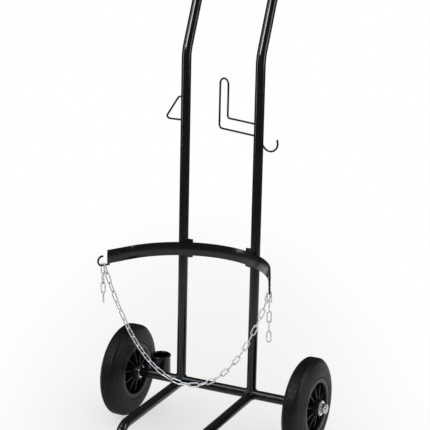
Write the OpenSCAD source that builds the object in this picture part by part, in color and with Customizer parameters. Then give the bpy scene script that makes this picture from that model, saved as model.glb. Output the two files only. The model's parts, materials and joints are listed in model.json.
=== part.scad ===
// Two-wheeled cart for welding gas cylinders: leaning tubular frame, curved
// cradle band with a retaining chain, foot rails, wire holders and two wheels.
// X runs along the axle, +Y points backwards, +Z up. The floor is z = 0 and the
// origin lies under the middle of the whole cart.

/* [Wheels] */
// Outside diameter of the tyre
wheel_d = 250; // [200:5:300]
// Width of the rim and of the tyre at its bead
wheel_w = 56; // [44:1:60]
// Width across the ribbed tread
tread_w = 24; // [18:1:30]
// Diameter of the rim lips
rim_d = 154; // [130:1:160]
// Length of the wheel hub
hub_len = 75; // [66:1:90]
// Outside diameter of the wheel hub
hub_d = 44; // [38:1:50]
// Distance between the middles of the two wheels
wheel_track = 528; // [480:2:620]
// Number of ribs in each rim
rim_ribs = 10; // [6:1:12]

/* [Axle] */
// Diameter of the axle shaft
axle_d = 20; // [16:1:20]
// Diameter of the threaded ends of the axle shaft
thread_d = 16; // [12:1:16]
// Running clearance of the bushes on the axle, on the radius
bush_gap = 0.05; // [0.02:0.01:0.1]
// Wall of the wheel bushes
bush_wall = 3; // [2:0.5:4]
// Length of one wheel bush
bush_len = 22; // [15:1:28]
// Outside diameter of the outer axle washers
washer_d = 39; // [32:1:44]
// Outside diameter of the inner axle washers
inner_washer_d = 32; // [28:1:40]
// Thickness of the axle washers
washer_t = 3; // [2:0.5:4]
// Free play of a hub between its two washers, on each side
hub_play = 0.5; // [0.3:0.1:1]
// Size of the axle nuts across their flats
nut_af = 24; // [22:1:27]
// Height of the axle nuts
nut_h = 13; // [10:1:16]

/* [Frame] */
// Diameter of the frame tubes
tube_d = 25; // [25:1:30]
// Wall of the frame tubes
tube_wall = 2; // [1.5:0.5:2.5]
// Distance between the middles of the two uprights
upright_gap = 207; // [180:1:250]
// How far the uprights stand behind the axle
upright_back = 4; // [0:1:8]
// Backward lean of the uprights, in degrees
lean = 2.7; // [0:0.1:6]
// Length of the leaning part, from the axle to the bend
upright_len = 881; // [700:1:1100]
// Angle between the leaning part and the handle, in degrees
handle_angle = 23; // [10:1:40]
// Height of the left upright's vent hole above the axle, along the upright
vent_up_left = 690; // [600:1:760]
// Height of the right upright's vent hole above the axle, along the upright
vent_up_right = 716; // [600:1:760]
// Diameter of the vent holes
vent_d = 5; // [3:0.5:8]
// Bend radius of the uprights
handle_bend = 100; // [75:5:140]
// Length of the handle, from the bend to its end
handle_len = 266; // [220:1:320]
// Length of a hand grip
grip_len = 112; // [90:1:130]
// Thickness of the rubber of a grip
grip_wall = 4; // [3:0.5:6]

/* [Foot rails] */
// Reach of the foot rails in front of the axle
rail_reach = 328; // [280:1:400]
// How far the rails lie below the axle
rail_drop = 5; // [0:1:6]
// Bend radius of the rails
rail_bend = 42; // [36:1:60]
// How far a foot cap stands proud of its tube all round
foot_proud = 2; // [1:0.5:5]
// Thickness of a foot cap below its tube
foot_t = 8; // [5:1:12]

/* [Cradle] */
// Height of the cradle band above the axle, along the uprights
band_up = 367; // [300:1:450]
// Inside radius of the curved middle of the band
band_r = 215; // [190:1:250]
// Half of the angle that the curved middle covers, in degrees
band_half = 65; // [50:1:70]
// Length of each straight end of the band
band_end = 70; // [50:1:100]
// Width of the flat bar
band_w = 35; // [25:1:45]
// Thickness of the flat bar
band_t = 5; // [3:0.5:6]
// Length of the tabs behind the band
tab_h = 48; // [40:1:60]
// Width of the tabs beside their uprights
tab_w = 14; // [8:1:20]

/* [Chain] */
// Wire of the chain links
link_wire = 3; // [2.5:0.5:3.5]
// Inside length of a link
link_len = 25.6; // [22:0.2:30]
// Outside width of a link
link_w = 13; // [12:0.5:15]
// Height of the chain's belly below its hooks
chain_sag = 284; // [200:1:320]
// Links in the loose tail on the left
tail_links_left = 4; // [1:1:5]
// Links in the loose tail on the right
tail_links_right = 5; // [1:1:6]
// Twist of each link of the left tail against the link above, in degrees
tail_twist = 16; // [0:1:18]
// Wire of the chain hooks
hook_wire = 5; // [4:0.5:5]
// Radius of the chain hooks, to the middle of their wire
hook_r = 12; // [10:1:16]
// Straight shank of a chain hook in front of the band
hook_shank = 17; // [16:1:28]

/* [Wire holders] */
// Wire of the hose hanger, torch hook and rod guide
holder_wire = 5; // [4:0.5:6]
// Gap between the two runs of the hose hanger, middle to middle
hanger_gap = 30; // [20:1:40]
// Reach of the hose hanger from the middle of its upright
hanger_reach = 143; // [110:1:180]
// Height of the hose hanger
hanger_h = 130; // [100:1:160]
// Height of the hanger's lower run above the axle, along the upright
hanger_up = 684; // [600:1:740]
// How far the hose hanger is turned backwards, in degrees
hanger_turn = 20; // [0:1:40]
// Height of the torch hook's belly above the axle, along the upright
torch_up = 650; // [560:1:700]
// Radius of the torch hook, to the middle of its wire
torch_r = 20; // [14:1:24]
// Height of the rod guide's lower end above the axle, along the upright
guide_up = 706; // [620:1:760]
// Height of the rod guide
guide_h = 58; // [40:1:80]
// Reach of the rod guide from the middle of its upright
guide_reach = 54; // [40:1:80]

/* [Rod cup] */
// Outside diameter of the rod cup below its lip
cup_d = 52; // [40:1:56]
// Wall of the rod cup
cup_wall = 2.5; // [2:0.5:4]
// Height of the rod cup
cup_h = 60; // [45:1:80]
// Rim of the rod cup above the axle
cup_rim_up = 44; // [35:1:60]
// Middle of the rod cup to the left of the cart's middle
cup_left = 184; // [165:1:195]
// Thickness of the rolled lip
cup_lip = 6; // [4:0.5:7]

/* [Hidden] */
$fn = 48;

axle_z = wheel_d / 2;                // height of the axle
grip_lead = 2;                       // how far a grip's full width passes its tube's end
grip_end = 4;                        // thickness of a grip's closed end
grip_flange = 3;                     // how far a grip's flange stands proud
handle_lean = lean + handle_angle;   // backward lean of the handles
foot_d = tube_d + 2 * foot_proud;    // diameter of the foot caps
// How far the feet reach in front of the axle, and the grips behind it
front_reach = rail_reach + foot_d / 2;
back_reach = upright_back + upright_len * sin(lean) + handle_len * sin(handle_lean)
    + (tube_d / 2 + grip_wall) * cos(handle_lean) + grip_lead * sin(handle_lean);
axle_y = (front_reach - back_reach) / 2;       // the axle behind the middle of the cart
side_x = upright_gap / 2;            // middle of each upright and rail
tube_r = tube_d / 2;
wheel_x = wheel_track / 2;           // middle of each wheel
hub_in = wheel_x - hub_len / 2;      // inner face of a hub
hub_out = wheel_x + hub_len / 2;     // outer face of a hub
tube_end = hub_in - hub_play - washer_t;       // end of the axle tube
washer_out = hub_out + hub_play;               // inner face of the outer washer
nut_x = washer_out + washer_t;                 // inner face of the nut
thread_end = nut_x + nut_h + 2;                // end of the axle shaft
washer_gap = 0.2;                              // clearance of a washer on the shaft
bush_d = axle_d + 2 * bush_gap + 2 * bush_wall;
steel = [0.09, 0.09, 0.1];
zinc = [0.78, 0.79, 0.8];
rubber = [0.16, 0.16, 0.17];
plastic = [0.07, 0.07, 0.07];
nylon = [0.85, 0.84, 0.8];

// ---- vectors -------------------------------------------------------------
function unit(v) = v / norm(v);
function across(v) = abs(v.z) > 0.9 * norm(v) ? [1, 0, 0] : [0, 0, 1];
function axes(x, y, z, p) = [
    [x.x, y.x, z.x, p.x], [x.y, y.y, z.y, p.y], [x.z, y.z, z.z, p.z], [0, 0, 0, 1]];
function clamped(v) = max(-1, min(1, v));
// A point of the leaning frame, whose z runs up along the uprights
function leaned(p) = [
    p.x,
    axle_y + upright_back + p.y * cos(lean) + p.z * sin(lean),
    axle_z - p.y * sin(lean) + p.z * cos(lean)];

// ---- round bar bent through points -----------------------------------------
joint_ball = 0.05;                   // how far the ball of a joint stands proud
// How far the bend at point i reaches along each of its two straights
function turn(p, i) = acos(clamped(unit(p[i] - p[i - 1]) * unit(p[i + 1] - p[i])));
function reach(p, r, i) = i == 0 || i == len(p) - 1 ? 0 : r[i] * tan(turn(p, i) / 2);

module straight(a, b, d) {
    v = b - a;
    if (norm(v) > 0.01) {
        z = unit(v);
        x = unit(cross(across(v), z));
        multmatrix(axes(x, cross(z, x), z, a)) cylinder(d = d, h = norm(v));
    }
}

module corner(p, r, i, d) {
    u = unit(p[i - 1] - p[i]);
    v = unit(p[i + 1] - p[i]);
    mid = p[i] + unit(u + v) * r[i] / cos(turn(p, i) / 2);
    x = unit(p[i] + u * reach(p, r, i) - mid);
    z = unit(cross(v, u));
    multmatrix(axes(x, cross(z, x), z, mid))
        rotate_extrude(angle = turn(p, i)) translate([r[i], 0]) circle(d = d);
}

// A ball a hair thicker than the bar closes the joint of a straight and a bend
module joint(p, d) {
    translate(p) rotate([20, 30, 0]) sphere(d = d + 2 * joint_ball);
}

module bar(p, r, d) {
    last = len(p) - 1;
    for (i = [0:last - 1]) {
        dir = unit(p[i + 1] - p[i]);
        from = p[i] + dir * reach(p, r, i);
        to = p[i + 1] - dir * reach(p, r, i + 1);
        straight(from, to, d);
        if (i > 0) joint(from, d);
        if (i < last - 1 && norm(to - from) > 0.01) joint(to, d);
    }
    for (i = [1:1:last - 1])
        corner(p, r, i, d);
}

// The same path with both ends made longer, for the bore of a tube
function longer(p, by) = [
    for (i = [0:len(p) - 1])
        i == 0 ? p[0] + unit(p[0] - p[1]) * by
        : i == len(p) - 1 ? p[i] + unit(p[i] - p[i - 1]) * by
        : p[i]];

module tube(p, r, d, wall) {
    difference() {
        bar(p, r, d);
        bar(longer(p, 1), r, d - 2 * wall);
    }
}

module along_x(x) {
    translate([x, axle_y, axle_z]) rotate([0, 90, 0]) children();
}

module in_lean() {
    translate([0, axle_y + upright_back, axle_z]) rotate([-lean, 0, 0]) children();
}

// ---- axle -------------------------------------------------------------------
module axle_tube() {
    color(steel) difference() {
        along_x(-tube_end) cylinder(d = tube_d, h = 2 * tube_end);
        along_x(-tube_end - 1) cylinder(d = axle_d, h = 2 * tube_end + 2);
    }
}

module axle_shaft() {
    shoulder = nut_x - 0.5;
    color(zinc) {
        along_x(-shoulder) cylinder(d = axle_d, h = 2 * shoulder);
        for (side = [-1, 1])
            along_x(side > 0 ? shoulder : -thread_end)
                cylinder(d = thread_d, h = thread_end - shoulder);
    }
}

module washer(x, d) {
    color(zinc) along_x(x) difference() {
        cylinder(d = d, h = washer_t);
        translate([0, 0, -1]) cylinder(d = axle_d + 2 * washer_gap, h = washer_t + 2);
    }
}

module nut(x) {
    crest = nut_af / cos(30);
    color(zinc) along_x(x) difference() {
        intersection() {
            cylinder(d = crest, h = nut_h, $fn = 6);
            rotate_extrude() polygon([
                [0, 0], [nut_af / 2, 0], [crest / 2, 1.2], [crest / 2, nut_h - 1.2],
                [nut_af / 2, nut_h], [0, nut_h]]);
        }
        translate([0, 0, -1]) cylinder(d = thread_d, h = nut_h + 2);
    }
}

// ---- wheels -----------------------------------------------------------------
seat_r = rim_d / 2 - 7;         // radius where the tyre sits on the rim
barrel_r = seat_r - 7;          // inside of the rim's barrel
lip_t = 3;                      // thickness of the rim lips
web_half = 4;                   // half the thickness of the rim's web
rib_t = 4;                      // thickness of a rim rib
rib_hub = 26;                   // reach of a rib along the hub, from the web's middle
rib_in = 6;                     // how far the ribs stay inside the rim's edges
hub_taper = 8;                  // length of the taper at each end of a hub
tread_depth = 1.5;              // depth of the tread grooves
tread_ribs = 5;                 // number of ribs across the tread

module rim(side) {
    half = wheel_w / 2;
    hub_r = hub_d / 2;
    hub_half = hub_len / 2;
    color(plastic) along_x(side * wheel_x) {
        rotate_extrude() polygon([
            [bush_d / 2, -hub_half], [hub_r - 2, -hub_half], [hub_r, hub_taper - hub_half],
            [hub_r + 1, -web_half], [barrel_r, -web_half], [barrel_r, -half],
            [rim_d / 2, -half], [rim_d / 2, lip_t - half], [seat_r, lip_t - half],
            [seat_r, half - lip_t], [rim_d / 2, half - lip_t], [rim_d / 2, half],
            [barrel_r, half], [barrel_r, web_half], [hub_r + 1, web_half],
            [hub_r, hub_half - hub_taper], [hub_r - 2, hub_half], [bush_d / 2, hub_half]]);
        for (i = [0:rim_ribs - 1])
            rotate([0, 0, i * 360 / rim_ribs]) translate([0, rib_t / 2, 0]) rotate([90, 0, 0])
                linear_extrude(rib_t) polygon([
                    [hub_r - 3, -rib_hub], [barrel_r + 1, rib_in - half],
                    [barrel_r + 1, half - rib_in], [hub_r - 3, rib_hub]]);
    }
}

module tyre(side) {
    half = wheel_w / 2;
    bead = half - lip_t - 0.05;
    r = wheel_d / 2;
    lip_r = rim_d / 2 + 0.3;
    edge = tread_w / 2;
    pitch = tread_w / (tread_ribs - 0.5);
    color(rubber) along_x(side * wheel_x) difference() {
        rotate_extrude($fn = 96) polygon([
            [seat_r, -bead], [lip_r, -bead], [lip_r, -half], [lip_r + 6, -half],
            [r - 12, 5 - half], [r - 5, 9 - half], [r - 1, -edge - 1], [r, -edge],
            [r, edge], [r - 1, edge + 1], [r - 5, half - 9], [r - 12, half - 5],
            [lip_r + 6, half], [lip_r, half], [lip_r, bead], [seat_r, bead]]);
        for (i = [1:tread_ribs - 1])
            translate([0, 0, (i - 0.25) * pitch - edge]) rotate_extrude($fn = 96)
                translate([r - tread_depth, -pitch / 4]) square([2 * tread_depth, pitch / 2]);
    }
}

module bush(x) {
    color(nylon) along_x(x) difference() {
        cylinder(d = bush_d, h = bush_len);
        translate([0, 0, -1]) cylinder(d = axle_d + 2 * bush_gap, h = bush_len + 2);
    }
}

// ---- uprights, grips, rails and feet ------------------------------------------
bend_point = [0, 0, upright_len];
handle_dir = [0, sin(handle_angle), cos(handle_angle)];
handle_end = bend_point + handle_dir * handle_len;

module upright(side, vent_up) {
    x = [side * side_x, 0, 0];
    color(steel) difference() {
        in_lean() tube([x, x + bend_point, x + handle_end], [0, handle_bend, 0], tube_d, tube_wall);
        along_x(-tube_end) cylinder(d = tube_d, h = 2 * tube_end);
        in_lean() translate(x + [0, 0, vent_up]) rotate([90, 0, 0])
            cylinder(d = vent_d, h = tube_d);
    }
}

module at_handle(side) {
    in_lean() translate([side * side_x, 0, 0] + handle_end) rotate([-handle_angle, 0, 0])
        children();
}

module grip(side) {
    low = grip_end - grip_len;
    grip_r = tube_r + grip_wall;
    color(rubber) at_handle(side) difference() {
        union() {
            translate([0, 0, low]) cylinder(r = grip_r, h = grip_lead - low);
            translate([0, 0, grip_lead])
                cylinder(r1 = grip_r, r2 = tube_r + 1, h = grip_end - grip_lead);
            translate([0, 0, low]) cylinder(r = grip_r + grip_flange, h = 4);
        }
        translate([0, 0, -grip_len]) cylinder(d = tube_d, h = grip_len);
    }
}

rail_z = axle_z - rail_drop;         // height of the foot rails
foot_edge = 1.5;                     // broken edge round a foot cap
foot_plug = 18;                      // how far a foot cap reaches into its tube

module foot_rail(side) {
    x = side * side_x;
    elbow = [x, axle_y - rail_reach, rail_z];
    color(steel) difference() {
        tube([[x, axle_y, rail_z], elbow, [x, elbow.y, foot_t]],
            [0, rail_bend, 0], tube_d, tube_wall);
        along_x(-tube_end) cylinder(d = tube_d, h = 2 * tube_end);
    }
}

module foot_cap(side) {
    plug = tube_d - 2 * tube_wall;
    color(rubber) translate([side * side_x, axle_y - rail_reach, 0]) {
        cylinder(d1 = foot_d - 2 * foot_edge, d2 = foot_d, h = foot_edge);
        translate([0, 0, foot_edge]) cylinder(d = foot_d, h = foot_t - foot_edge);
        translate([0, 0, foot_t]) cylinder(d = plug, h = foot_plug);
    }
}

// ---- cradle band, tabs and chain hooks ------------------------------------------
// Middle of the band's curve: its back touches both uprights
band_back = sqrt(pow(band_r + band_t + tube_r, 2) - pow(side_x, 2));
band_mid = [0, -band_back, band_up];

module cradle_band() {
    color(steel) in_lean() translate(band_mid - [0, 0, band_w / 2]) {
        rotate([0, 0, 90 - band_half])
            rotate_extrude(angle = 2 * band_half, $fn = 180)
                translate([band_r, 0]) square([band_t, band_w]);
        for (side = [-1, 1])
            rotate([0, 0, 90 + side * band_half]) translate([band_r, 0, 0]) {
                translate([0, side < 0 ? -band_end : 0, 0]) cube([band_t, band_end, band_w]);
                // closes the joint of the bend and the straight end
                translate([band_t / 2, 0, 0]) cylinder(d = band_t + 2 * joint_ball, h = band_w);
            }
    }
}

module band_tab(side) {
    color(steel) in_lean() difference() {
        translate([side > 0 ? side_x - tube_r - tab_w : tube_r - side_x - 2, -16, band_up - tab_h / 2])
            cube([tab_w + 2, 20, tab_h]);
        translate([side * side_x, 0, band_up - tab_h]) cylinder(d = tube_d, h = 2 * tab_h);
        translate(band_mid - [0, 0, tab_h]) cylinder(r = band_r + band_t, h = 2 * tab_h, $fn = 180);
    }
}

// Middle of the bar's thickness at the band's end, and the way on from there
function end_way(side) = [side * cos(band_half), -sin(band_half), 0];
function end_mid(side) = band_mid
    + (band_r + band_t / 2) * [side * sin(band_half), cos(band_half), 0]
    + band_end * end_way(side);
// A point of the hook's plane: s runs on from the band's end, h up from the wire
function hook_point(side, s, h) =
    end_mid(side) + s * end_way(side) + [0, 0, h - (band_w + hook_wire) / 2];

hook_lap = 6;        // how far a hook's shank runs along under the band
hook_tip = 3;        // how far a hook's tip runs straight after its bend

module chain_hook(side) {
    way = end_way(side);
    low = hook_point(side, hook_shank, 0);
    high = hook_point(side, hook_shank, 2 * hook_r);
    color(steel) in_lean() {
        straight(hook_point(side, -hook_lap, 0), low, hook_wire);
        multmatrix(axes([0, 0, -1], way, cross([0, 0, -1], way), (low + high) / 2))
            rotate_extrude(angle = 180) translate([hook_r, 0]) circle(d = hook_wire);
        straight(high, high - hook_tip * way, hook_wire);
        joint(low, hook_wire);
        joint(high, hook_wire);
    }
}

// ---- chain ---------------------------------------------------------------------
link_r = (link_w - link_wire) / 2;                 // middle of the wire round a link's end
link_leg = link_len + link_wire - 2 * link_r;      // straight side of a link
link_gap = 0.4;                                    // play between two links
link_step = link_len - link_gap;                   // from one link to the next
on_hook = (link_len - hook_wire) / 2 - link_gap;   // from the hook's wire to its link's middle
tail_seat = hook_shank - 2;                        // tail's place on the shank
chain_seat = tail_seat - 5;                        // chain's place on the shank
// Where the chain and the tail hang, in the middle of the hook's wire
function chain_at(side) = leaned(hook_point(side, chain_seat, 0));
function tail_at(side) = leaned(hook_point(side, tail_seat, 0));

function sinh(u) = (exp(u) - exp(-u)) / 2;
function cosh(u) = (exp(u) + exp(-u)) / 2;
function arsinh(u) = ln(u + sqrt(u * u + 1));
half_span = chain_at(1).x;
// Size of the catenary that hangs this far below hooks this far apart
function by_sag(lo, hi, n) = n == 0 ? (lo + hi) / 2
    : let (a = (lo + hi) / 2)
    a * (cosh(half_span / a) - 1) > chain_sag ? by_sag(a, hi, n - 1) : by_sag(lo, a, n - 1);
// Size of the catenary of this length
function by_length(half, lo, hi, n) = n == 0 ? (lo + hi) / 2
    : let (a = (lo + hi) / 2)
    a * sinh(half_span / a) > half ? by_length(half, a, hi, n - 1) : by_length(half, lo, a, n - 1);
sag_size = by_sag(half_span / 8, half_span * 8, 40);
wanted_half = sag_size * sinh(half_span / sag_size);
// An odd number of links, so that both end links lie alike on their hooks
link_count = 2 * round((wanted_half - on_hook) / link_step) + 1;
half_len = on_hook + (link_count - 1) / 2 * link_step;
chain_size = by_length(half_len, half_span / 8, half_span * 8, 40);
belly_z = chain_at(1).z - chain_size * (cosh(half_span / chain_size) - 1);
// Point and direction of the chain at a length s from its lowest point
function chain_point(s) = let (x = chain_size * arsinh(s / chain_size))
    [x, chain_at(1).y, belly_z + chain_size * (cosh(x / chain_size) - 1)];
function chain_way(s) = unit([1, 0, s / chain_size]);
// Links face along the hooks' wires at the ends and turn evenly in between
function chain_face(i) = let (a = (90 - band_half) * (2 * i / (link_count - 1) - 1))
    [sin(a), -cos(a), 0];

// One link: long way z, flat side facing as near to y as it can
module link(p, way, face, edge_on) {
    z = unit(way);
    y = unit(face - (face * z) * z);
    x = cross(y, z);
    multmatrix(edge_on ? axes(y, -x, z, p) : axes(x, y, z, p))
        for (end = [-1, 1]) {
            translate([end * link_r, 0, -link_leg / 2]) cylinder(d = link_wire, h = link_leg, $fn = 24);
            translate([0, 0, end * link_leg / 2]) rotate([90, 0, 0])
                rotate([0, 0, end > 0 ? 0 : 180])
                    rotate_extrude(angle = 180, $fn = 24) translate([link_r, 0]) circle(d = link_wire);
        }
}

module hung_link(i) {
    s = (i - (link_count - 1) / 2) * link_step;
    link(chain_point(s), chain_way(s), chain_face(i), i % 2 == 1);
}

module chain_links() {
    color(zinc) for (i = [1:link_count - 2])
        hung_link(i);
}

module hook_link(side) {
    color(zinc) hung_link(side < 0 ? 0 : link_count - 1);
}

// A loose end of the chain, whose links turn on from the way that the first one lies
module chain_tail(side, count, twist) {
    way = [0, 0, -1];
    color(zinc) for (i = [0:count - 1])
        link(tail_at(side) + way * (on_hook + i * link_step), way,
            [side * cos(band_half - (i + 1) * twist), -sin(band_half - (i + 1) * twist), 0], i % 2 == 1);
}

// ---- wire holders and rod cup ----------------------------------------------------
wire_sink = 6;                       // how deep in an upright the wires' ends are cut from

// Wire with its ends cut to the round of the upright that they are welded to
module cut_to_upright(side) {
    in_lean() difference() {
        children();
        translate([side * side_x, 0, 0]) cylinder(d = tube_d, h = upright_len);
    }
}

// Two parallel runs out from the upright, up, and joined over the top
module hose_hanger() {
    out = [-cos(hanger_turn), sin(hanger_turn), 0];
    inner = hanger_reach - hanger_gap;
    start = tube_r - wire_sink;
    function at(s, up) = [side_x, 0, hanger_up + up] + s * out;
    color(steel) cut_to_upright(1) bar(
        [at(start, 0), at(hanger_reach, 0), at(hanger_reach, hanger_h),
            at(inner, hanger_h), at(inner, hanger_gap), at(start, hanger_gap)],
        [0, 10, hanger_gap / 2, hanger_gap / 2, 7, 0], holder_wire);
}

torch_out = tube_r + torch_r;        // middle of the torch hook's bend, from its upright's
torch_drop = 48;                     // downward slope of the torch hook where it starts
torch_back = 8;                      // inward slope of the torch hook's tip
torch_tip = 9;                       // straight end of the torch hook

// A hook that slopes down from the side of the upright and turns up in a round belly
module torch_hook() {
    mid = [side_x + torch_out, 0, torch_up + torch_r];
    from = mid - torch_r * [sin(torch_drop), 0, cos(torch_drop)];
    to = mid + torch_r * [cos(torch_back), 0, sin(torch_back)];
    lead = (from.x - side_x - tube_r + wire_sink) / cos(torch_drop);
    color(steel) cut_to_upright(1) {
        straight(from + lead * [-cos(torch_drop), 0, sin(torch_drop)], from, holder_wire);
        multmatrix(axes([-sin(torch_drop), 0, -cos(torch_drop)], [cos(torch_drop), 0, -sin(torch_drop)],
            [0, -1, 0], mid))
            rotate_extrude(angle = 90 + torch_back + torch_drop)
                translate([torch_r, 0]) circle(d = holder_wire);
        straight(to, to + torch_tip * [-sin(torch_back), 0, cos(torch_back)], holder_wire);
        joint(from, holder_wire);
        joint(to, holder_wire);
    }
}

guide_half = 0.36 * tube_d;          // from the upright's middle out to the guide's ends

// A sloping loop beside the upright, high at the back and low at the front
module rod_guide() {
    function at(s, y, up) = [-side_x - s, y, guide_up + up];
    start = tube_r - 1.5 * wire_sink;
    color(steel) cut_to_upright(-1) bar(
        [at(start, guide_half, guide_h), at(guide_reach - 26, guide_half + 5, guide_h - 4),
            at(guide_reach, -2, 4), at(guide_reach - 12, -guide_half, 0), at(start, -guide_half, 0)],
        [0, 5, 5, 5, 0], holder_wire);
}

cup_floor = 3;                       // thickness of the rod cup's floor

module rod_cup() {
    low = axle_z + cup_rim_up - cup_h;
    color(steel) translate([-cup_left, axle_y + tube_r + cup_d / 2, low]) {
        difference() {
            cylinder(d = cup_d, h = cup_h - cup_lip / 2);
            translate([0, 0, cup_floor]) cylinder(d = cup_d - 2 * cup_wall, h = cup_h);
        }
        translate([0, 0, cup_h - cup_lip / 2]) rotate_extrude()
            translate([(cup_d - cup_wall) / 2, 0]) circle(d = cup_lip);
    }
}

axle_tube();
upright(-1, vent_up_left);  // upright_left
upright(1, vent_up_right);  // upright_right
foot_rail(-1);  // foot_rail_left
foot_rail(1);  // foot_rail_right
foot_cap(-1);  // foot_cap_left
foot_cap(1);  // foot_cap_right
grip(-1);  // grip_left
grip(1);  // grip_right
cradle_band();
band_tab(-1);  // band_tab_left
band_tab(1);  // band_tab_right
chain_hook(-1);  // chain_hook_left
chain_hook(1);  // chain_hook_right
hose_hanger();
torch_hook();
rod_guide();
rod_cup();
axle_shaft();
washer(-tube_end - washer_t, inner_washer_d);  // inner_washer_left
washer(tube_end, inner_washer_d);  // inner_washer_right
washer(-nut_x, washer_d);  // outer_washer_left
washer(washer_out, washer_d);  // outer_washer_right
nut(-nut_x - nut_h);  // axle_nut_left
nut(nut_x);  // axle_nut_right
rim(-1);  // rim_left
rim(1);  // rim_right
tyre(-1);  // tyre_left
tyre(1);  // tyre_right
bush(-hub_in - bush_len);  // bush_inner_left
bush(-hub_out);  // bush_outer_left
bush(hub_in);  // bush_inner_right
bush(hub_out - bush_len);  // bush_outer_right
chain_links();
hook_link(-1);  // hook_link_left
hook_link(1);  // hook_link_right
chain_tail(-1, tail_links_left, -tail_twist);  // chain_tail_left
chain_tail(1, tail_links_right, 0);  // chain_tail_right
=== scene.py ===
import json
import math

import bmesh
import bpy
import numpy as np
from mathutils import Matrix, Vector


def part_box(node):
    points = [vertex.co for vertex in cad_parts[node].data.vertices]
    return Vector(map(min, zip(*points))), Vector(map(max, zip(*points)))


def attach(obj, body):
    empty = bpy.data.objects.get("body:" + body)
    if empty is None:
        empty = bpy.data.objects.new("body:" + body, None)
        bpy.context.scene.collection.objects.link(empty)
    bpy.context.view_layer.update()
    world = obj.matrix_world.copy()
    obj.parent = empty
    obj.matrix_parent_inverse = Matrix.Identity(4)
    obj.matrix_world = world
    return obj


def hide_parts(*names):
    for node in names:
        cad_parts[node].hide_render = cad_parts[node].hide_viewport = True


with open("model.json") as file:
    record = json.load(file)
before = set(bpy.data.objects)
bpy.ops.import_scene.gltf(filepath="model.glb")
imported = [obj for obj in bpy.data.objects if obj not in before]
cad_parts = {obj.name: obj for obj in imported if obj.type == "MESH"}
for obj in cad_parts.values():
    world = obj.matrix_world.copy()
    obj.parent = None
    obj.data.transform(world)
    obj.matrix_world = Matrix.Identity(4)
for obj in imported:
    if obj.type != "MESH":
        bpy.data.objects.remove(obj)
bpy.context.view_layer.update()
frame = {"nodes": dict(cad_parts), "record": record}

MM = 0.001
BODY = {node: body for body, nodes in frame["record"]["behaviour"]["bodies"].items() for node in nodes}


def middle(node):
    low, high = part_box(node)
    return (low + high) / 2


def half_size(node):
    low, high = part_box(node)
    return (high - low) / 2


# ---- the cart's own lines ---------------------------------------------------------
AXLE = middle("axle_tube")                      # middle of the axle
TUBE_R = half_size("axle_tube").z
SIDE_X = middle("upright_right").x              # middle of an upright and of a foot rail
RAIL_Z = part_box("foot_rail_right")[1].z - TUBE_R
LEAN = math.radians(2.7)                        # backward lean of the uprights
HANDLE_LEAN = math.radians(25.7)                # backward lean of the handles
UPRIGHT_BACK = 4 * MM                           # the uprights stand this far behind the axle


def leaned(x, y, up):
    """A point of the leaning frame: x across, y behind the uprights' middle, up along them from the axle."""
    return Vector((
        x,
        AXLE.y + UPRIGHT_BACK + y * math.cos(LEAN) + up * math.sin(LEAN),
        AXLE.z - y * math.sin(LEAN) + up * math.cos(LEAN)))


# ---- camera, light and floor ------------------------------------------------------
AZIMUTH = math.radians(26.746)
ELEVATION = math.radians(17.045)
DISTANCE = 3.9623
SENSOR = 36                                     # width of the sensor, in millimetres
FRAME_WIDTH = 430                               # width of the image
FOCAL = 1500                                    # focal length, in the unit of the image's width
AIM = AXLE + Vector((-0.0600, 0.1181, 0.4336))  # the view's middle, above and behind the axle


def set_camera():
    data = bpy.data.cameras.new("camera")
    data.sensor_width = SENSOR
    data.lens = SENSOR * FOCAL / FRAME_WIDTH
    data.clip_end = 50
    camera = bpy.data.objects.new("camera", data)
    back = Vector((math.sin(AZIMUTH) * math.cos(ELEVATION), -math.cos(AZIMUTH) * math.cos(ELEVATION),
                   math.sin(ELEVATION)))
    camera.location = AIM + DISTANCE * back
    camera.rotation_euler = (math.pi / 2 - ELEVATION, 0, AZIMUTH)
    bpy.context.scene.collection.objects.link(camera)
    bpy.context.scene.camera = camera


def softbox(name, place, aim, size, power, colour=(1, 1, 1), gloss_only=True):
    data = bpy.data.lights.new(name, "AREA")
    data.shape = "RECTANGLE"
    data.size, data.size_y = size
    data.energy = power
    data.color = colour
    lamp = bpy.data.objects.new(name, data)
    lamp.location = place
    lamp.rotation_euler = (Vector(aim) - Vector(place)).to_track_quat("-Z", "Y").to_euler()
    lamp.visible_diffuse = not gloss_only
    bpy.context.scene.collection.objects.link(lamp)


WORLD_LIGHT = 0.98                              # how strongly the studio lights the matt side of things
WORLD_SEEN = 1.0                                # and how bright it looks behind the cart
WORLD_GLOSS = 0.12                              # and how bright it is in the gloss of the parts
COOL = (0.9, 0.95, 1)                           # colour of the bluish softboxes


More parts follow.
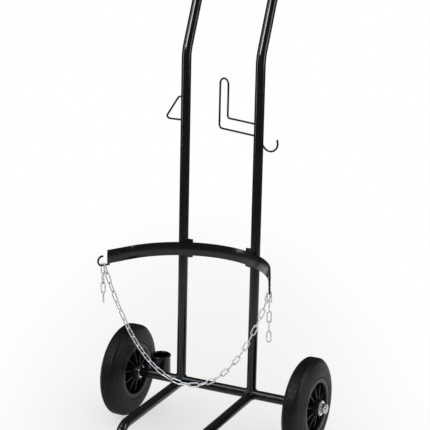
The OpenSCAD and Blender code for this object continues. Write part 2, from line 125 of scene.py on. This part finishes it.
def set_studio():
    """A white studio, with softboxes that draw the highlights on the black parts."""
    bpy.context.scene.view_settings.view_transform = "Standard"
    world = bpy.data.worlds.new("studio")
    bpy.context.scene.world = world
    world.use_nodes = True
    nodes, links = world.node_tree.nodes, world.node_tree.links
    mix = [nodes.new("ShaderNodeMixShader") for _ in range(2)]
    ray = nodes.new("ShaderNodeLightPath")
    links.new(ray.outputs["Is Camera Ray"], mix[0].inputs["Fac"])
    links.new(ray.outputs["Is Glossy Ray"], mix[1].inputs["Fac"])
    for strength, socket in ((WORLD_LIGHT, mix[0].inputs[1]), (WORLD_SEEN, mix[0].inputs[2]),
                             (WORLD_GLOSS, mix[1].inputs[2])):
        light = nodes.new("ShaderNodeBackground")
        light.inputs["Color"].default_value = (1, 1, 1, 1)
        light.inputs["Strength"].default_value = strength
        links.new(light.outputs["Background"], socket)
    links.new(mix[0].outputs["Shader"], mix[1].inputs[1])
    links.new(mix[1].outputs["Shader"], nodes["World Output"].inputs["Surface"])
    softbox("left_light", (-2.6, -1.6, 1.5), (0, 0, 0.7), (0.7, 2.6), 30)
    softbox("right_light", (3.0, 0.8, 1.6), (0, 0, 0.7), (1.0, 2.4), 37, COOL)
    softbox("front_light", (-0.6, -2.3, 2.75), (0, 0.2, 1.1), (0.8, 1.0), 62)
    softbox("top_light", (-1.4, -0.75, 2.9), (0, 0, 0.3), (1.2, 1.2), 22, COOL)
    softbox("top_fill", (0.2, -0.4, 3.2), (0, 0, 0.3), (2.2, 2.2), 3, gloss_only=False)


FLOOR_R = 2.6
FLOOR_GREY = 0.9                                # under the cart
FLOOR_STRETCH = 0.3                             # the grey reaches further to the back than to the sides
FLOOR_FADE = (0.1, 0.75)                        # where it fades into the white of the studio
FLOOR_GLOSS = (1.2, 2.1)                        # where the floor ends in the gloss of the parts; beyond it glossy rays see a dim painted glow instead of the floor
FLOOR_PAINTED_SHARE = (0.55, 1.0)                       # share of a painted glow in what the camera sees, under the cart and far away; the glow stands in for even light
FLOOR_PAINTED_LIGHT = (0.91, 1.0)                        # brightness of that painted glow, under the cart and far away; the dimmer glow under the cart is painted shade


def add_floor():
    """A pale round floor, which melts into the white of the studio through a painted glow that stands in for light.
    """
    bpy.ops.mesh.primitive_circle_add(vertices=128, radius=FLOOR_R, fill_type="NGON", location=(0, 0, 0))
    floor = bpy.context.object
    floor.name = "floor"
    material = bpy.data.materials.new("floor")
    material.use_nodes = True
    nodes, links = material.node_tree.nodes, material.node_tree.links
    shader = nodes["Principled BSDF"]
    shader.inputs["Base Color"].default_value = (FLOOR_GREY, FLOOR_GREY, FLOOR_GREY * 0.99, 1)
    shader.inputs["Roughness"].default_value = 0.9
    shader.inputs["Specular IOR Level"].default_value = 0.1
    place = nodes.new("ShaderNodeTexCoord")

    def fade(turn, stretch, reach):
        mapping = nodes.new("ShaderNodeMapping")
        mapping.vector_type = "TEXTURE"
        mapping.inputs["Rotation"].default_value = (0, 0, turn)
        mapping.inputs["Scale"].default_value = (1, 1 / stretch, 1)
        links.new(place.outputs["Object"], mapping.inputs["Vector"])
        length = nodes.new("ShaderNodeVectorMath")
        length.operation = "LENGTH"
        links.new(mapping.outputs["Vector"], length.inputs[0])
        span = nodes.new("ShaderNodeMapRange")
        span.interpolation_type = "SMOOTHSTEP"
        span.inputs["From Min"].default_value, span.inputs["From Max"].default_value = reach
        links.new(length.outputs["Value"], span.inputs["Value"])
        return span.outputs["Result"]

    def from_to(value, low, high):
        span = nodes.new("ShaderNodeMapRange")
        span.inputs["To Min"].default_value, span.inputs["To Max"].default_value = low, high
        links.new(value, span.inputs["Value"])
        return span.outputs["Result"]

    ray = nodes.new("ShaderNodeLightPath")
    last = shader.outputs["BSDF"]
    # camera rays see a painted glow mixed into the floor's shading; it stands in for even light and is dimmer under
    # the cart as painted shade. Far out, glossy rays see a dim painted glow instead of the floor
    for outward, shares, strengths, seen in (
            (fade(AZIMUTH, FLOOR_STRETCH, FLOOR_FADE), FLOOR_PAINTED_SHARE, FLOOR_PAINTED_LIGHT, "Is Camera Ray"),
            (fade(0, 1, FLOOR_GLOSS), (0.0, 1.0), (WORLD_GLOSS, WORLD_GLOSS), "Is Glossy Ray")):
        share = from_to(outward, *shares)
        painted_glow = nodes.new("ShaderNodeEmission")
        links.new(from_to(outward, *strengths), painted_glow.inputs["Strength"])
        both = nodes.new("ShaderNodeMath")
        both.operation = "MULTIPLY"
        links.new(share, both.inputs[0])
        links.new(ray.outputs[seen], both.inputs[1])
        mix = nodes.new("ShaderNodeMixShader")
        links.new(both.outputs["Value"], mix.inputs["Fac"])
        links.new(last, mix.inputs[1])
        links.new(painted_glow.outputs["Emission"], mix.inputs[2])
        last = mix.outputs["Shader"]
    links.new(last, nodes["Material Output"].inputs["Surface"])
    floor.data.materials.append(material)


# ---- modelling helpers -------------------------------------------------------------
def fresh():
    """Object mode with nothing selected."""
    if bpy.context.object and bpy.context.object.mode != "OBJECT":
        bpy.ops.object.mode_set(mode="OBJECT")
    bpy.ops.object.select_all(action="DESELECT")


def take(piece):
    """Makes piece the only one selected."""
    fresh()
    piece.select_set(True)
    bpy.context.view_layer.objects.active = piece


def settle(piece):
    """Puts the piece's place and turn into its mesh."""
    take(piece)
    bpy.ops.object.transform_apply(location=True, rotation=True, scale=True)


def apply_modifiers(piece):
    take(piece)
    for modifier in list(piece.modifiers):
        bpy.ops.object.modifier_apply(modifier=modifier.name)


def smooth(piece, angle=35):
    take(piece)
    bpy.ops.object.shade_smooth_by_angle(angle=math.radians(angle))


def cleaned(piece):
    """Merges doubles and turns the faces outwards."""
    take(piece)
    bpy.ops.object.mode_set(mode="EDIT")
    bpy.ops.mesh.select_all(action="SELECT")
    bpy.ops.mesh.remove_doubles(threshold=0.00001)
    bpy.ops.mesh.normals_make_consistent(inside=False)
    bpy.ops.object.mode_set(mode="OBJECT")


def rounded(points, radii, steps=4):
    """The closed outline with each corner rounded to its radius, by a quadratic curve."""
    out = []
    count = len(points)
    for i, radius in enumerate(radii):
        here = Vector(points[i])
        before = Vector(points[i - 1]) - here
        after = Vector(points[(i + 1) % count]) - here
        reach = min(radius, before.length * 0.49, after.length * 0.49)
        if reach <= 0:
            out.append(here)
            continue
        start = here + before.normalized() * reach
        end = here + after.normalized() * reach
        for k in range(steps + 1):
            t = k / steps
            out.append(start * (1 - t) ** 2 + here * 2 * t * (1 - t) + end * t * t)
    return out


def turned(name, outline, centre, axis="X", steps=128):
    """A piece turned on the lathe. The closed outline's points are (radius, distance along) in millimetres."""
    fresh()
    bpy.ops.mesh.primitive_plane_add(size=0.01, location=centre)
    piece = bpy.context.object
    piece.name = name
    across, up = Vector((1, 0, 0)), Vector((0, 0, 1))
    along, out = (across, up) if axis == "X" else (up, across)
    places = [along * p[1] * MM + out * p[0] * MM for p in outline]
    bpy.ops.object.mode_set(mode="EDIT")
    bpy.ops.mesh.select_all(action="SELECT")
    bpy.ops.mesh.merge(type="CENTER")
    bpy.ops.transform.translate(value=places[0])
    for here, there in zip(places, places[1:] + places[:1]):
        bpy.ops.mesh.extrude_region_move(TRANSFORM_OT_translate={"value": there - here})
    bpy.ops.mesh.select_all(action="SELECT")
    bpy.ops.mesh.remove_doubles(threshold=0.000002)
    bpy.ops.mesh.spin(steps=steps, angle=2 * math.pi, center=centre, axis=along)
    bpy.ops.object.mode_set(mode="OBJECT")
    settle(piece)
    cleaned(piece)
    return piece


def copied(piece, name, shift=(0, 0, 0), turn=None):
    """A copy with its own mesh, moved by shift or placed by the matrix turn."""
    twin = piece.copy()
    twin.data = piece.data.copy()
    twin.name = name
    bpy.context.scene.collection.objects.link(twin)
    twin.data.transform(turn if turn is not None else Matrix.Translation(shift))
    return twin


def joined(name, pieces):
    fresh()
    for piece in pieces:
        piece.select_set(True)
    bpy.context.view_layer.objects.active = pieces[0]
    bpy.ops.object.join()
    pieces[0].name = name
    return pieces[0]


def finished(piece, body, slot, material, *replaced):
    piece.data.materials.clear()
    piece.data.materials.append(material)
    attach(piece, body)
    if replaced:
        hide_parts(*replaced)
    return piece


def eased_copy(node, edge, name):
    """A copy of a CAD node whose sharp edges are broken by a bevel."""
    source = frame["nodes"][node]
    twin = source.copy()
    twin.data = source.data.copy()
    for key in [k for k in twin.keys() if k.startswith("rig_")]:
        del twin[key]
    twin.parent = None
    twin.name = name
    bpy.context.scene.collection.objects.link(twin)
    cleaned(twin)
    bpy.ops.object.mode_set(mode="EDIT")
    bpy.ops.mesh.select_all(action="SELECT")
    bpy.ops.mesh.customdata_custom_splitnormals_clear()
    bpy.ops.mesh.dissolve_limited(angle_limit=math.radians(1))
    bpy.ops.object.mode_set(mode="OBJECT")
    if edge:
        bevel = twin.modifiers.new("edge", "BEVEL")
        bevel.width = edge
        bevel.segments = 2
        bevel.limit_method = "ANGLE"
        bevel.angle_limit = math.radians(30)
        apply_modifiers(twin)
    smooth(twin)
    return twin


# ---- materials ---------------------------------------------------------------------
class Finish:
    """A material with a Principled shader and the nodes that feed it."""

    def __init__(self, name, colour, roughness, metallic=0.0):
        self.material = bpy.data.materials.new(name)
        self.material.use_nodes = True
        self.tree = self.material.node_tree
        self.shader = self.tree.nodes["Principled BSDF"]
        self.shader.inputs["Base Color"].default_value = (*colour, 1)
        self.shader.inputs["Roughness"].default_value = roughness
        self.shader.inputs["Metallic"].default_value = metallic
        self.place = self.tree.nodes.new("ShaderNodeTexCoord").outputs["Object"]

    def node(self, kind, **values):
        made = self.tree.nodes.new(kind)
        for key, value in values.items():
            if hasattr(made, key):
                setattr(made, key, value)
            else:
                made.inputs[key.replace("_", " ")].default_value = value
        return made

    def link(self, source, target):
        self.tree.links.new(source, target)

    def noise(self, scale, detail, roughness=0.5):
        made = self.node("ShaderNodeTexNoise", Scale=scale, Detail=detail, Roughness=roughness)
        self.link(self.place, made.inputs["Vector"])
        return made.outputs["Fac"]

    def span(self, source, low, high, start, end):
        made = self.node("ShaderNodeMapRange", From_Min=start, From_Max=end, To_Min=low, To_Max=high)
        self.link(source, made.inputs["Value"])
        return made.outputs["Result"]

    def ramp(self, source, stops):
        made = self.tree.nodes.new("ShaderNodeValToRGB")
        ramp = made.color_ramp
        while len(ramp.elements) < len(stops):
            ramp.elements.new(0.5)
        for element, (place, colour) in zip(ramp.elements, stops):
            element.position = place
            element.color = (*colour, 1)
        self.link(source, made.inputs["Fac"])
        return made.outputs["Color"]

    def bump(self, height, strength, distance, after=None):
        made = self.node("ShaderNodeBump", Strength=strength, Distance=distance)
        self.link(height, made.inputs["Height"])
        if after:
            self.link(after, made.inputs["Normal"])
        return made.outputs["Normal"]

    def set(self, socket, source):
        self.link(source, self.shader.inputs[socket])


def powder_coat():
    """Gloss black powder coat with its faint orange peel and a little dust."""
    f = Finish("black_powder_coat", (0.004, 0.004, 0.005), 0.25)
    f.shader.inputs["Specular IOR Level"].default_value = 0.4
    f.set("Base Color", f.ramp(f.noise(14, 4), [(0.3, (0.0028, 0.0028, 0.0034)), (0.7, (0.0056, 0.0057, 0.0066))]))
    f.set("Roughness", f.span(f.noise(60, 5), 0.12, 0.22, 0.3, 0.7))
    peel = f.bump(f.noise(520, 2), 0.12, 0.0004)
    f.set("Normal", f.bump(f.noise(90, 2), 0.08, 0.001, peel))
    return f.material


def zinc(name, colour, roughness):
    """Zinc plate: bright metal with faint cloudy patches and fine scratches."""
    f = Finish(name, colour, roughness, 1.0)
    dark = tuple(c * 0.78 for c in colour)
    f.set("Base Color", f.ramp(f.noise(160, 5), [(0.35, dark), (0.65, colour)]))
    f.set("Roughness", f.span(f.noise(240, 4), roughness - 0.08, roughness + 0.12, 0.3, 0.7))
    f.set("Normal", f.bump(f.noise(700, 3), 0.1, 0.0003))
    return f.material


def tyre_rubber():
    """Solid tyre rubber: dull black with a bloom of dust and a fine moulded grain."""
    f = Finish("tyre_rubber", (0.004, 0.004, 0.0048), 0.45)
    f.shader.inputs["Specular IOR Level"].default_value = 0.22
    dust = f.noise(22, 6, 0.65)
    f.set("Base Color", f.ramp(dust, [(0.3, (0.003, 0.003, 0.0036)), (0.75, (0.0065, 0.0065, 0.0075))]))
    f.set("Roughness", f.span(f.noise(110, 4), 0.34, 0.52, 0.3, 0.7))
    grain = f.bump(f.noise(1400, 3), 0.2, 0.0003)
    f.set("Normal", f.bump(f.noise(240, 3), 0.1, 0.0006, grain))
    return f.material


def moulded_black(name, shade, roughness, grain):
    """Moulded black plastic or rubber with a spark-eroded grain."""
    f = Finish(name, (shade, shade, shade * 1.04), roughness)
    f.shader.inputs["Specular IOR Level"].default_value = 0.35
    f.set("Base Color", f.ramp(f.noise(40, 4), [(0.3, (shade * 0.7,) * 3), (0.7, (shade * 1.3,) * 3)]))
    f.set("Roughness", f.span(f.noise(130, 3), roughness - 0.08, roughness + 0.1, 0.3, 0.7))
    f.set("Normal", f.bump(f.noise(grain, 4), 0.16, 0.0003))
    return f.material


def nylon():
    """Natural nylon, off-white and slightly see-through at its edges."""
    f = Finish("natural_nylon", (0.72, 0.70, 0.62), 0.42)
    f.shader.inputs["Subsurface Weight"].default_value = 0.1
    f.shader.inputs["Subsurface Radius"].default_value = (0.004, 0.003, 0.002)
    f.set("Base Color", f.ramp(f.noise(80, 3), [(0.3, (0.66, 0.64, 0.56)), (0.7, (0.76, 0.74, 0.66))]))
    f.set("Normal", f.bump(f.noise(600, 2), 0.08, 0.0002))
    return f.material


COAT = powder_coat()
PLATE = zinc("bright_zinc", (0.66, 0.68, 0.70), 0.24)
CHAIN_ZINC = zinc("chain_zinc", (0.76, 0.80, 0.84), 0.42)
TYRE = tyre_rubber()
RIM = moulded_black("rim_plastic", 0.005, 0.36, 900)
GRIP = moulded_black("grip_rubber", 0.018, 0.6, 1600)
FOOT = moulded_black("foot_rubber", 0.02, 0.66, 1300)
NYLON = nylon()
SLOT_MATERIAL = {
    "frame_paint": COAT, "zinc_plate": PLATE, "chain_zinc": CHAIN_ZINC, "grip_rubber": GRIP,
    "foot_rubber": FOOT, "tyre_rubber": TYRE, "rim_plastic": RIM, "bush_nylon": NYLON}


def paint_frame():
    """Every CAD node takes the material of its slot."""
    for part in frame["record"]["subparts"]:
        mesh = frame["nodes"][part["node"]].data
        material = SLOT_MATERIAL[part["material_slot"]]
        if not mesh.materials:
            mesh.materials.append(material)
        for i in range(len(mesh.materials)):
            mesh.materials[i] = material


# ---- wheels ------------------------------------------------------------------------
WHEEL_R = half_size("tyre_left").z / MM         # in millimetres, as all of the wheel's sizes are
WHEEL_HALF = half_size("tyre_left").x / MM
RIM_R = half_size("rim_left").z / MM
HUB_HALF = half_size("rim_left").x / MM
BUSH_R = half_size("bush_outer_left").z / MM
HUB_R = 22
RIM_RIBS = 10
TREAD_HALF = 12
TREAD_RIBS = 5
GROOVE_DEPTH = 1.8
SIDE_RIDGES = 5


def tyre_outline():
    """Half of the tyre's section is drawn from the bead up its side to the tread, then mirrored."""
    side = [(RIM_R - 7, WHEEL_HALF - 3.1), (RIM_R + 0.4, WHEEL_HALF - 3.1), (RIM_R + 0.6, WHEEL_HALF - 1.6),
            (RIM_R + 1.6, WHEEL_HALF - 0.4), (RIM_R + 3.4, WHEEL_HALF)]
    # moulded ridges run round the side wall
    low, high = RIM_R + 5, WHEEL_R - 14
    steps = SIDE_RIDGES * 8
    for k in range(steps + 1):
        t = k / steps
        fall = 5.6 * t * t
        ridge = 0.42 * (1 - math.cos(2 * math.pi * SIDE_RIDGES * t)) * (1 - 0.4 * t)
        side.append((low + (high - low) * t, WHEEL_HALF - 0.1 - fall - ridge))
    side += [(WHEEL_R - 10, WHEEL_HALF - 7.1), (WHEEL_R - 6.2, WHEEL_HALF - 9.6),
             (WHEEL_R - 3.2, WHEEL_HALF - 12.3), (WHEEL_R - 1.2, TREAD_HALF + 1.0), (WHEEL_R - 0.4, TREAD_HALF + 0.2)]
    tread = []
    pitch = 2 * TREAD_HALF / (TREAD_RIBS - 0.5)
    for i in range(1, TREAD_RIBS):
        centre = TREAD_HALF - (i - 0.25) * pitch
        wide, narrow = pitch * 0.27, pitch * 0.14
        tread += [(WHEEL_R, centre + wide + 0.3), (WHEEL_R - 0.25, centre + wide),
                  (WHEEL_R - GROOVE_DEPTH, centre + narrow), (WHEEL_R - GROOVE_DEPTH, centre - narrow),
                  (WHEEL_R - 0.25, centre - wide), (WHEEL_R, centre - wide - 0.3)]
    mirrored = [(r, -x) for r, x in reversed(side)]
    return side + tread + mirrored


def rim_outline():
    """The rim's section: hub, web and barrel, on both sides of its middle."""
    half, hub = WHEEL_HALF, HUB_HALF
    barrel = RIM_R - 14
    corners = [
        (BUSH_R, hub, 0.6), (HUB_R - 1.5, hub, 1.2), (HUB_R - 0.4, hub - 8, 3), (HUB_R + 1.5, 4, 4),
        (barrel - 1.5, 4, 4), (barrel - 0.3, half - 5, 1), (barrel + 0.6, half - 1.2, 1), (barrel + 2.4, half, 1.2),
        (RIM_R - 1.4, half, 1.2), (RIM_R, half - 1.4, 1.2), (RIM_R, half - 3, 0.4), (RIM_R - 7, half - 3, 0.8)]
    points = [c[:2] for c in corners] + [(r, -x) for r, x, _ in reversed(corners)]
    radii = [c[2] for c in corners] + [c[2] for c in reversed(corners)]
    return rounded(points, radii)


def rim_rib(centre):
    """One radial rib, which stands on both sides of the web from the hub to the barrel."""
    fresh()
    inner, outer = HUB_R - 3, RIM_R - 13.4
    bpy.ops.mesh.primitive_cube_add(size=1, location=centre + Vector((0, 0, (inner + outer) / 2 * MM)))
    rib = bpy.context.object
    rib.scale = (2 * (HUB_HALF - 9) * MM, 4.2 * MM, (outer - inner) * MM)
    settle(rib)
    bpy.ops.object.mode_set(mode="EDIT")
    mesh = bmesh.from_edit_mesh(rib.data)
    for vertex in mesh.verts:
        vertex.select_set(vertex.co.z > centre.z + (inner + outer) / 2 * MM)
    mesh.select_flush(True)
    bmesh.update_edit_mesh(rib.data)
    narrow = (WHEEL_HALF - 7.5) / (HUB_HALF - 9)
    bpy.ops.transform.resize(value=(narrow, 0.72, 1), center_override=centre)
    bpy.ops.mesh.select_all(action="SELECT")
    bpy.ops.mesh.bevel(offset=0.9 * MM, segments=3, affect="EDGES")
    bpy.ops.object.mode_set(mode="OBJECT")
    return rib


def make_wheels():
    centre = middle("tyre_left")
    tyre = turned("tyre_moulding_left", tyre_outline(), centre, steps=160)
    smooth(tyre, 40)
    barrel = turned("rim_moulding_left", rim_outline(), centre, steps=128)
    first = rim_rib(centre)
    ribs = [first]
    for i in range(1, RIM_RIBS):
        angle = i * 2 * math.pi / RIM_RIBS
        spin = Matrix.Translation(centre) @ Matrix.Rotation(angle, 4, "X") @ Matrix.Translation(-centre)
        ribs.append(copied(first, "rib", turn=spin))
    rim = joined("rim_moulding_left", [barrel] + ribs)
    smooth(rim, 40)
    across = middle("tyre_right") - centre
    for side, step in (("left", Vector((0, 0, 0))), ("right", across)):
        rubber = tyre if side == "left" else copied(tyre, "tyre_moulding_right", step)
        plastic = rim if side == "left" else copied(rim, "rim_moulding_right", step)
        finished(rubber, "wheel_" + side, "tyre_rubber", TYRE, "tyre_" + side)
        finished(plastic, "wheel_" + side, "rim_plastic", RIM, "rim_" + side)


# ---- sharp-edged steel pieces, with their edges broken --------------------------------
EASED = {
    "cradle_band": 0.5, "band_tab_left": 0.8, "band_tab_right": 0.8,
    "inner_washer_left": 0.3, "inner_washer_right": 0.3, "outer_washer_left": 0.3, "outer_washer_right": 0.3,
    "axle_nut_left": 0.25, "axle_nut_right": 0.25, "rod_cup": 0.3, "axle_shaft": 0.4}


def ease_edges():
    slots = {part["node"]: part["material_slot"] for part in frame["record"]["subparts"]}
    for node, edge in EASED.items():
        piece = eased_copy(node, edge * MM, node + "_eased")
        finished(piece, BODY[node], slots[node], SLOT_MATERIAL[slots[node]], node)


# ---- chain -------------------------------------------------------------------------
LINK_WIRE_R = 1.5                               # in millimetres
LINK_WIDTH = 13
CHAINS = ("chain_links", "hook_link_left", "hook_link_right", "chain_tail_left", "chain_tail_right")


def link_shapes(piece):
    """The middle, long way, wide way and flat way of each link in the piece."""
    mesh = bmesh.new()
    mesh.from_mesh(piece.data)
    left = set(mesh.verts)
    shapes = []
    while left:
        seed = min(left, key=lambda v: v.index)
        group, edge = {seed}, [seed]
        while edge:
            vertex = edge.pop()
            for link in vertex.link_edges:
                other = link.other_vert(vertex)
                if other not in group:
                    group.add(other)
                    edge.append(other)
        left -= group
        places = np.array([v.co for v in sorted(group, key=lambda v: v.index)])
        centre = (places.min(0) + places.max(0)) / 2
        ways = np.linalg.svd(places - places.mean(0), full_matrices=False)[2]
        middle_place = sum(((places @ w).min() + (places @ w).max()) / 2 * w for w in ways)
        shapes.append((Vector(middle_place), *[Vector(w) for w in ways]))
    mesh.free()
    return shapes


def link_weld():
    """The upset where a link's wire is butt welded, lying along Z."""
    low = LINK_WIRE_R - 0.3
    wire = LINK_WIRE_R
    outline = [(low, -2.2), (wire - 0.05, -2.2), (wire + 0.28, -1.5), (wire + 0.42, -0.7), (wire + 0.3, -0.15),
               (wire + 0.3, 0.15), (wire + 0.42, 0.7), (wire + 0.28, 1.5), (wire - 0.05, 2.2), (low, 2.2)]
    return turned("link_weld", outline, Vector((0, 0, 0)), axis="Z", steps=14)


def make_chains():
    """The chain, its hook links and its tails, with a weld on one side of each link."""
    weld = link_weld()
    for node in CHAINS:
        links = eased_copy(node, 0, node + "_wire")
        leg = (LINK_WIDTH / 2 - LINK_WIRE_R) * MM
        parts = [links]
        for centre, long_way, wide_way, flat_way in link_shapes(links):
            turn = Matrix((wide_way, long_way.cross(wide_way), long_way)).transposed().to_4x4()
            parts.append(copied(weld, "weld", turn=Matrix.Translation(centre + wide_way * leg) @ turn))
        chain = joined(node + "_wire", parts)
        smooth(chain, 50)
        finished(chain, BODY[node], "chain_zinc", CHAIN_ZINC, node)
    bpy.data.objects.remove(weld)


# ---- grips and feet ----------------------------------------------------------------
GRIP_LEN = 112                                  # in millimetres
GRIP_R = 16.5
GRIP_RIBS = 13


def handle_end(side):
    """The middle of the open end of a handle."""
    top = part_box("upright_" + side)[1]
    return Vector((middle("upright_" + side).x, top.y - TUBE_R * math.cos(HANDLE_LEAN),
                   top.z - TUBE_R * math.sin(HANDLE_LEAN)))


def grip_outline():
    low = 4 - GRIP_LEN
    bore = TUBE_R / MM
    outline = [(0, 0.2), (0, 4), (9, 4), (11, 3.9), (GRIP_R - 3, 3.4), (GRIP_R - 1, 2.4), (GRIP_R - 0.2, 0.9)]
    start, end = -4.0, low + 12
    pitch = (start - end) / GRIP_RIBS
    for i in range(GRIP_RIBS):
        z = start - i * pitch
        outline += [(GRIP_R - 0.1, z), (GRIP_R, z - 0.18 * pitch), (GRIP_R - 0.1, z - 0.36 * pitch),
                    (GRIP_R - 0.9, z - 0.5 * pitch), (GRIP_R - 1.2, z - 0.62 * pitch),
                    (GRIP_R - 1.2, z - 0.78 * pitch), (GRIP_R - 0.8, z - 0.9 * pitch)]
    outline += [(GRIP_R - 0.1, end), (GRIP_R, low + 7), (GRIP_R + 0.6, low + 5.2), (GRIP_R + 2, low + 4.2),
                (GRIP_R + 2.7, low + 3.2), (GRIP_R + 2.9, low + 2), (GRIP_R + 2.7, low + 0.8),
                (GRIP_R + 1.8, low + 0.1), (GRIP_R, low), (bore + 0.6, low), (bore, low + 0.6), (bore, 0.2)]
    return outline


def make_grips():
    first = turned("grip", grip_outline(), Vector((0, 0, 0)), axis="Z", steps=72)
    smooth(first, 45)
    for side in ("left", "right"):
        place = Matrix.Translation(handle_end(side)) @ Matrix.Rotation(-HANDLE_LEAN, 4, "X")
        grip = copied(first, "ribbed_grip_" + side, turn=place)
        finished(grip, "root", "grip_rubber", GRIP, "grip_" + side)
    bpy.data.objects.remove(first)


def foot_outline():
    return [(0, 1.2), (8.8, 1.2), (9.6, 0.3), (10.4, 0), (13.0, 0), (13.9, 0.4), (14.4, 1.3), (14.5, 2.6),
            (14.1, 3.0), (14.1, 3.6), (14.5, 4.0), (14.5, 6.6), (14.1, 7.6), (13.2, 8), (10.3, 8),
            (10.3, 24.5), (9.0, 26), (0, 26)]


def make_feet():
    for side in ("left", "right"):
        centre = middle("foot_cap_" + side)
        centre.z = 0
        foot = turned("rubber_foot_" + side, foot_outline(), centre, axis="Z", steps=64)
        smooth(foot, 40)
        finished(foot, "root", "foot_rubber", FOOT, "foot_cap_" + side)


# ---- weld beads --------------------------------------------------------------------
RIPPLE = 2.3 * MM                               # from one ripple of a weld to the next
STEP = 0.5 * MM
SHAKE = np.random.default_rng(7)
TUBE_WELD = 3.0 * MM                            # thickness of the beads between two tubes, from middle to face
BAND_WELD = 1.7 * MM
CUP_WELD = 2.0 * MM
WIRE_WELD = 1.3 * MM
WIRE_R = 2.4 * MM                               # the ring of weld round a wire
BAND_UP = 367 * MM                              # middle of the cradle band, up the uprights from the axle
BAND_HALF_W = 17 * MM
BAND_BACK_R = 220 * MM                          # radius of the band's back
BAND_MID_Y = -math.sqrt((BAND_BACK_R + TUBE_R) ** 2 - SIDE_X ** 2)


def bead(name, points, radius, closed=False):
    """A rippled weld bead along the points."""
    places = [Vector(p) for p in points]
    if closed:
        places.append(places[0])
    track = []
    for here, there in zip(places, places[1:]):
        count = max(1, round((there - here).length / STEP))
        track += [here.lerp(there, k / count) for k in range(count)]
    if not closed:
        track.append(places[-1])
    curve = bpy.data.curves.new(name, "CURVE")
    curve.dimensions = "3D"
    curve.bevel_depth = radius
    curve.bevel_resolution = 2
    curve.use_fill_caps = True
    spline = curve.splines.new("POLY")
    spline.points.add(len(track) - 1)
    spline.use_cyclic_u = closed
    wander = SHAKE.normal(0, 0.05, len(track) // 6 + 3)
    for i, (point, place) in enumerate(zip(spline.points, track)):
        point.co = (*place, 1)
        ripple = abs(math.sin(math.pi * i * STEP / RIPPLE))
        drift = np.interp(i / 6, range(len(wander)), wander)
        fade = 1 if closed else min(1, 0.45 + min(i, len(track) - 1 - i) / 5)
        point.radius = (0.84 + 0.2 * ripple + drift) * fade
    piece = bpy.data.objects.new(name, curve)
    bpy.context.scene.collection.objects.link(piece)
    take(piece)
    bpy.ops.object.convert(target="MESH")
    piece = bpy.context.object
    cleaned(piece)
    smooth(piece, 60)
    return piece


def saddle(side):
    """Round the foot of an upright, where it is coped over the axle tube."""
    points = []
    for k in range(72):
        a = 2 * math.pi * k / 72
        y = UPRIGHT_BACK + TUBE_R * math.sin(a)
        if y > TUBE_R * 0.97:
            continue
        rise = math.sqrt(TUBE_R ** 2 - y ** 2)
        x = side * SIDE_X + TUBE_R * math.cos(a)
        points.append((a, Vector((x, AXLE.y + y + rise * math.sin(LEAN), AXLE.z + rise))))
    # the run starts and ends at the gap behind the tube
    points.sort(key=lambda p: (p[0] - math.pi / 2) % (2 * math.pi))
    return bead("weld_upright", [p for _, p in points], TUBE_WELD)


def rail_saddle(side):
    """Round the end of a foot rail, where it is coped over the front of the axle tube."""
    points = []
    drop = RAIL_Z - AXLE.z
    for k in range(72):
        a = 2 * math.pi * k / 72
        up = drop + TUBE_R * math.sin(a)
        if abs(up) > TUBE_R * 0.97:
            continue
        x = side * SIDE_X + TUBE_R * math.cos(a)
        points.append((a, Vector((x, AXLE.y - math.sqrt(TUBE_R ** 2 - up ** 2), AXLE.z + up))))
    points.sort(key=lambda p: (p[0] + math.pi / 2) % (2 * math.pi))
    return bead("weld_rail", [p for _, p in points], TUBE_WELD)


def wire_ends(node, side):
    """Where a wire holder's ends meet its upright, and the way each wire leaves it."""
    foot, way = leaned(side * SIDE_X, 0, 0), leaned(0, 0, 1) - leaned(0, 0, 0)
    groups = []
    for vertex in frame["nodes"][node].data.vertices:
        arm = vertex.co - foot
        off = arm - arm.dot(way) * way
        if off.length < TUBE_R + 1.2 * MM:
            for group in groups:
                if (group[0] - vertex.co).length < 8 * MM:
                    group.append(vertex.co.copy())
                    break
            else:
                groups.append([vertex.co.copy()])
    ends = []
    for group in groups:
        place = sum(group, Vector()) / len(group)
        arm = place - foot
        ends.append((place, (arm - arm.dot(way) * way).normalized()))
    return ends


def ring_bead(name, place, way):
    """A ring of weld round a wire that leaves its place this way."""
    turn = way.to_track_quat("Z", "Y").to_matrix()
    points = [place + turn @ Vector((WIRE_R * math.cos(a), WIRE_R * math.sin(a), 0))
              for a in (2 * math.pi * k / 24 for k in range(24))]
    return bead(name, points, WIRE_WELD, closed=True)


def band_line(side, angle, shift):
    """A line up the back of the cradle band at this angle round its curve, shifted backwards."""
    x = side * BAND_BACK_R * math.sin(angle)
    y = BAND_MID_Y + BAND_BACK_R * math.cos(angle) + shift
    return [leaned(x, y, BAND_UP + h) for h in (-BAND_HALF_W, BAND_HALF_W)]


def make_welds():
    beads = []
    for side in (-1, 1):
        beads += [saddle(side), rail_saddle(side)]
        meet = math.asin(SIDE_X / (BAND_BACK_R + TUBE_R))
        for off in (-5.2 * MM, 5.2 * MM):
            beads.append(bead("weld_band", band_line(side, meet + off / BAND_BACK_R, 0.9 * MM), BAND_WELD))
    for node, side in (("hose_hanger", 1), ("torch_hook", 1), ("rod_guide", -1)):
        for place, way in wire_ends(node, side):
            beads.append(ring_bead("weld_wire", place, way))
    cup = middle("rod_cup")
    for up in (-6.5 * MM, 6.5 * MM):
        run = []
        for k in range(-8, 9):
            x = k * 1.1 * MM
            y = math.sqrt(TUBE_R ** 2 - up ** 2)
            back = (y + TUBE_R + 0.4 * MM + x * x / (50 * MM)) / 2 + 1.0 * MM
            run.append(Vector((cup.x + x, AXLE.y + back, AXLE.z + up)))
        beads.append(bead("weld_cup", run, CUP_WELD))
    finished(joined("weld_beads", beads), "root", "frame_paint", COAT)


set_camera()
set_studio()
add_floor()
paint_frame()
make_wheels()
ease_edges()
make_chains()
make_grips()
make_feet()
make_welds()
